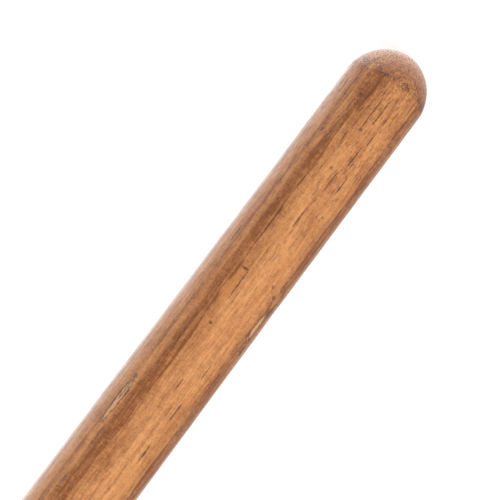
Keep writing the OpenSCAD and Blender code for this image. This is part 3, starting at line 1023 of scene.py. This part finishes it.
def make_wing_nut(node, material):
    """A cast nut: its body and wings are melted together, softened and then drilled."""
    low, high, middle = box_of(node)
    flat = low.x
    upright = high.z - low.z > high.y - low.y
    place = along_x((flat, middle.y, middle.z))
    body = [(6.05 * MM, 0.25 * MM), (6.15 * MM, 2 * MM), (4.7 * MM, NUT_H), (4.1 * MM, NUT_H + 0.1 * MM)]
    parts = [capped(turned_rings(body, 32, place))]
    wing = wing_outline(high.x - flat, max(high.y - middle.y, high.z - middle.z))
    centre = wing.mean(axis=0)
    for side in (-1, 1):
        rings = []
        for across, grow in ((-1.1, 0.94), (-0.75, 1.0), (0.75, 1.0), (1.1, 0.94)):
            a, ring = across * MM, centre + (wing - centre) * grow
            rings.append([place(a, side * r, h) if upright else place(side * r, a, h) for h, r in ring])
        parts.append(capped(rings))
    nut = mesh_piece(node + "_cast", *joined(parts))
    melt = nut.modifiers.new("melt", "REMESH")
    melt.mode = "VOXEL"
    melt.voxel_size = 0.4 * MM
    ease = nut.modifiers.new("ease", "SMOOTH")
    ease.factor = 0.6
    ease.iterations = 5
    bake(nut)
    for vertex in nut.data.vertices:
        vertex.co.x = max(vertex.co.x, flat)
    combine(nut, [rod(BOLT_R + FIT_GAP, -20 * MM, 20 * MM, place, 48)], smooth_angle=50)
    finish_piece(nut, node, material)


def make_screws(material):
    top = seat_z(BOW_OUT_X) - MM
    neck = 18 * MM
    profile = [(SCREW_HEAD_R - 0.1 * MM, 0.0), (SCREW_HEAD_R, 0.2 * MM)]
    profile += [(SCREW_R, 2.6 * MM), (SCREW_R, neck)]
    parts, slots = [], []
    for x in (-BOW_OUT_X, BOW_OUT_X):
        down = along_z((x, 0, top), -1)
        rings = turned_rings(profile, 28, down)
        rings += threaded(SCREW_R - 0.6 * MM, SCREW_R, neck + 0.1 * MM, SCREW_L, 2.0 * MM, down)
        parts.append(capped(rings))
        slots.append(slot_cutter(1.2 * MM, 1.1 * MM, 0.1 * MM, 10 * MM, math.pi / 2, down))
    screws = mesh_piece("saddle_wood_screws", *joined(parts), smooth_angle=35)
    for slot in slots:
        combine(screws, [slot], smooth_angle=35)
    finish_piece(screws, "saddle_screws", material)


# ---- handgrip ----

def make_handgrip(material):
    _, high, middle = box_of("handgrip")
    half, end_r, swell_r = high.x, 13 * MM, high.z - middle.z
    collar, round_over, lip = 6 * MM, 2 * MM, 0.3 * MM
    profile = arc_profile((end_r - round_over, round_over - half), round_over, -90, 0, 5)
    for u in np.linspace(-1, 1, 90):
        profile.append((end_r + (swell_r - end_r) * math.cos(u * math.pi / 2), u * (half - collar)))
    profile += arc_profile((end_r - round_over, half - round_over), round_over, 0, 90, 5)
    profile += [(HOLE_R + lip, half), (HOLE_R, half - lip), (HOLE_R, lip - half), (HOLE_R + lip, -half)]

    def place(a, b, h):
        """Moves a point of the turned grip to its worn place; the bore isn't worn."""
        spot, r = (h, a, b), math.hypot(a, b)
        worn = 0.06 * waver(spot, 18 * MM, 51) + 0.025 * waver(spot, 5 * MM, 52)
        worn += 0.012 * math.sin(h / (0.9 * MM)) * (1 - abs(h) / half)
        grow = 1 + worn * MM / r if r > HOLE_R + MM else 1.0
        return middle.x + h, middle.y + a * grow, middle.z + b * grow

    grip = mesh_piece("turned_handgrip", *loft(turned_rings(profile, 144, place), True))
    set_grain(grip, lambda co: (co.y, co.z - middle.z, co.x))
    finish_piece(grip, "handgrip", material)


# ---- other materials ----

def new_graph(name):
    """A material's graph, and where a point is on its own piece, in mm."""
    g = Graph(name)
    return g, g.in_mm(g.node("ShaderNodeTexCoord").outputs["Object"])


def aged_steel():
    """Zinc-plated steel gone dull, darker and less metallic in its hollows, with a little rust."""
    g, point = new_graph("aged_steel")
    dull = g.noise(point, 3, 61.0, 4, 0.6)
    grain = g.noise(point, 0.35, 62.0, 2, 0.6)
    bloom = g.fade(g.noise(point, 2.2, 63.0, 4, 0.7), 0.54, 0.7)
    rust = g.fade(g.noise(point, 1.6, 64.0, 4, 0.75), 0.6, 0.72)
    hollow = g.fade(g.pointiness(), 0.5, 0.44)
    scratch = g.fade(g.noise(point, (4.0, 0.12, 0.3), 65.0, 2, 0.6), 0.6, 0.7)
    colour = g.ramp(dull, [(0.3, (0.25, 0.245, 0.24)), (0.7, (0.45, 0.445, 0.43))])
    colour = g.paint(
        colour, (bloom, 0.6, (0.56, 0.56, 0.54)), (rust, 0.75, (0.16, 0.062, 0.026)),
        (hollow, 0.7, (0.07, 0.055, 0.045)),
    )
    shine = g.add(1.0, g.times(bloom, -0.35), g.times(rust, -0.8), g.times(hollow, -0.4))
    roughness = g.add(0.36, g.signed(dull, 0.3), g.times(bloom, 0.2), g.times(rust, 0.35))
    relief = g.add(
        g.signed(grain, 0.03), g.times(rust, 0.04), g.times(scratch, -0.015), g.signed(dull, 0.06)
    )
    return g.surface(
        Base_Color=colour, Metallic=g.math("MAXIMUM", shine, 0.05), Roughness=roughness,
        Normal=g.bump(relief),
    )


def tarnished_brass():
    g, point = new_graph("tarnished_brass")
    cloud = g.noise(point, 2.5, 71.0, 4, 0.6)
    grain = g.noise(point, 0.3, 72.0, 2)
    hollow = g.fade(g.pointiness(), 0.51, 0.45)
    tones = [(0.34, (0.17, 0.09, 0.03)), (0.5, (0.36, 0.21, 0.075)), (0.66, (0.52, 0.34, 0.135))]
    colour = g.ramp(cloud, tones)
    colour = g.mix(g.times(hollow, 0.8), colour, (0.055, 0.035, 0.018))
    roughness = g.add(0.34, g.signed(cloud, -0.5), g.times(hollow, 0.3))
    relief = g.add(g.signed(grain, 0.03), g.signed(cloud, 0.10))
    return g.surface(
        Base_Color=colour, Metallic=g.add(0.95, g.times(hollow, -0.5)), Roughness=roughness,
        Normal=g.bump(relief),
    )


def worn_leather():
    """Brown hide: pebbled grain, creases across the pad, paler along its edges, partly from rubbed wear and partly
    a painted highlight.
    """
    g, point = new_graph("worn_leather")
    pebble = g.cells(point, 1.15, 81.0, "DISTANCE_TO_EDGE")
    fine = g.cells(point, 0.5, 82.0, "DISTANCE_TO_EDGE")
    cloud = g.noise(point, 14, 83.0, 3, 0.6)
    mottle = g.noise(point, 2.2, 84.0, 4, 0.65)
    crease = g.math("ABSOLUTE", g.signed(g.noise(point, (5, 22, 9), 85.0, 3, 0.6), 1.0))
    crease = g.fade(crease, 0.016, 0.0)
    # Paler on the pad's edges: partly rubbed wear, partly a painted highlight on the edges.
    rubbed = g.times(g.fade(g.pointiness(), 0.503, 0.53), g.fade(mottle, 0.35, 0.6))
    gap = g.fade(pebble, 0.1, 0.01)
    colour = g.ramp(
        g.add(g.times(cloud, 0.55), g.times(mottle, 0.45)),
        [(0.36, (0.060, 0.019, 0.008)), (0.5, (0.150, 0.048, 0.017)), (0.64, (0.250, 0.090, 0.032))],
    )
    dirt = (0.03, 0.012, 0.007)
    colour = g.paint(colour, (gap, 0.4, dirt), (crease, 0.5, dirt), (rubbed, 0.55, (0.36, 0.17, 0.085)))
    roughness = g.add(0.46, g.signed(mottle, 0.3), g.times(gap, 0.15), g.signed(cloud, 0.25))
    relief = g.add(
        g.times(g.fade(pebble, 0.0, 0.22), 0.11), g.times(g.fade(fine, 0.0, 0.2), 0.03),
        g.times(crease, -0.18), g.signed(mottle, 0.08),
    )
    return g.surface(
        Base_Color=colour, Roughness=roughness, Normal=g.bump(relief), Specular_IOR_Level=0.4,
    )


def pressed_felt():
    g, point = new_graph("pressed_felt")
    hair = g.noise(point, (0.3, 1.6, 0.5), 91.0, 4, 0.7)
    cross = g.noise(point, (1.6, 0.3, 0.5), 92.0, 4, 0.7)
    cloud = g.noise(point, 8, 93.0, 3)
    both = g.add(g.times(hair, 0.5), g.times(cross, 0.5))
    colour = g.ramp(both, [(0.35, (0.20, 0.145, 0.085)), (0.65, (0.52, 0.43, 0.29))])
    colour = g.mix(g.fade(cloud, 0.4, 0.7, 0.0, 0.3), colour, (0.25, 0.17, 0.10))
    return g.surface(
        Base_Color=colour, Roughness=0.95, Sheen_Weight=0.25, Normal=g.bump(g.signed(both, 0.5))
    )


def waxed_thread():
    g, point = new_graph("waxed_thread")
    twist = g.noise(point, (0.16, 0.9, 0.16), 95.0, 2)
    dirt = g.noise(point, 6, 96.0, 3)
    colour = g.ramp(dirt, [(0.35, (0.20, 0.13, 0.065)), (0.65, (0.48, 0.37, 0.22))])
    return g.surface(
        Base_Color=g.mix(g.fade(twist, 0.35, 0.65, 0.0, 0.4), colour, (0.12, 0.075, 0.04)),
        Roughness=0.6, Normal=g.bump(g.signed(twist, 0.12)),
    )


# ---- floor, light and camera ----

def make_floor():
    reach = 60
    corners = [(-reach, -reach, 0), (reach, -reach, 0), (reach, reach, 0), (-reach, reach, 0)]
    floor = mesh_piece("floor", corners, [(0, 1, 2, 3)])
    g = Graph("floor_white")
    towards = g.vector("MULTIPLY", g.node("ShaderNodeNewGeometry").outputs["Incoming"], (-1, -1, -1))
    glow = g.node("ShaderNodeEmission", {0: (1, 1, 1, 1), 1: studio_white(g, towards, 0.9, 0.9)})
    paint = g.node("ShaderNodeBsdfDiffuse", {"Color": (0.2, 0.2, 0.2, 1)})
    both = g.node("ShaderNodeAddShader", {0: glow.outputs[0], 1: paint.outputs[0]})
    g.node("ShaderNodeOutputMaterial", {0: both.outputs[0]})
    floor.data.materials.append(g.material)


def studio_white(g, towards, seen, lighting):
    """How bright the white studio is: to the camera, as light, and as a reflection.

    As a reflection it is bright behind the object on the +X side and below it, and dim elsewhere.
    """
    path = g.node("ShaderNodeLightPath").outputs
    x, y, z = g.split(towards)
    wall = g.times(g.fade(x, -0.35, 0.4), g.fade(y, -0.75, 0.45))
    below = g.times(g.fade(z, -0.15, -0.75), g.fade(x, -0.75, 0.0), g.fade(y, -0.7, 0.3))
    mirrored = g.add(0.38, g.times(wall, 1.5), g.times(below, 1.5))
    lit = g.node("ShaderNodeMix", {0: path["Is Glossy Ray"], 2: lighting, 3: mirrored}).outputs[0]
    return g.node("ShaderNodeMix", {0: path["Is Camera Ray"], 2: lit, 3: seen}).outputs[0]


def make_world():
    g = Graph("studio", bpy.data.worlds)
    towards = g.node("ShaderNodeTexCoord").outputs["Generated"]
    sky = g.node("ShaderNodeBackground", {0: (1, 1, 1, 1), 1: studio_white(g, towards, 1.3, 0.62)})
    g.node("ShaderNodeOutputWorld", {0: sky.outputs[0]})
    bpy.context.scene.world = g.material


def soft_light(name, where, target, size, power):
    lamp = bpy.data.lights.new(name, "AREA")
    lamp.size = size
    lamp.energy = power
    made = add_object(name, lamp)
    made.location = where
    made.rotation_mode = "QUATERNION"
    made.rotation_quaternion = (Vector(where) - Vector(target)).to_track_quat("Z", "Y")
    made.visible_camera = False


def make_camera():
    """Looks at the foot from the -Y side and a little above, with the tip at the upper right."""
    tilt, roll = math.radians(10), math.radians(53.2)
    distance, view_width = 1.3, 0.142
    look_at = Vector((3.6 * MM, 0, 72.6 * MM))
    back = Vector((0, -math.cos(tilt), math.sin(tilt)))
    down_leg = Vector((0, 0, -1)) + back * back.z
    down_leg.normalize()
    side = back.cross(down_leg)
    right = math.cos(roll) * down_leg - math.sin(roll) * side
    up = math.sin(roll) * down_leg + math.cos(roll) * side
    lens = bpy.data.cameras.new("camera")
    lens.sensor_width = 36
    lens.lens = lens.sensor_width * distance / view_width
    lens.clip_start = 0.05
    lens.clip_end = 200
    camera = add_object("camera", lens)
    turn = Matrix((right, up, back)).transposed()
    camera.matrix_world = Matrix.Translation(look_at + back * distance) @ turn.to_4x4()
    bpy.context.scene.camera = camera


# ---- the crutch ----

LEG_TONES = (0.69, 0.3, 0.1), (0.238, 0.066, 0.01)
BOW_TONES = (0.60, 0.25, 0.084), (0.25, 0.085, 0.022)
SADDLE_TONES = (0.52, 0.215, 0.075), (0.22, 0.075, 0.02)
GRIP_TONES = (0.56, 0.23, 0.082), (0.24, 0.082, 0.022)
leg_wood = wood("leg_wood", LEG_TONES, (26.2, 64.9), 80.75, 5.0, foot=True)
bow_wood = wood("bow_wood", BOW_TONES, (-31, 47), 50, 4.3, 7.3)
saddle_wood = wood("saddle_wood", SADDLE_TONES, (12, -58), 52, 3.9, 13.1)
grip_wood = wood("grip_wood", GRIP_TONES, (9, 36), 40, 3.6, 19.7, rough=0.3)
steel = aged_steel()

make_leg(leg_wood)
make_bow("bow_left", -1, bow_wood)
make_bow("bow_right", 1, bow_wood)
make_saddle(saddle_wood)
make_filling(pressed_felt())
make_cover(worn_leather(), waxed_thread())
make_tacks(tarnished_brass())
make_screws(steel)
make_handgrip(grip_wood)
for place in ("lower", "upper", "grip"):
    make_bolt(place + "_bolt", steel)
    make_washer(place + "_head_washer", steel)
    make_washer(place + "_nut_washer", steel)
    make_wing_nut(place + "_wing_nut", steel)

make_floor()
make_world()
soft_light("key", (-1.5, -2.6, 1.3), (0, 0, 0.3), 1.6, 48)
make_camera()
bpy.context.scene.view_settings.view_transform = "Standard"
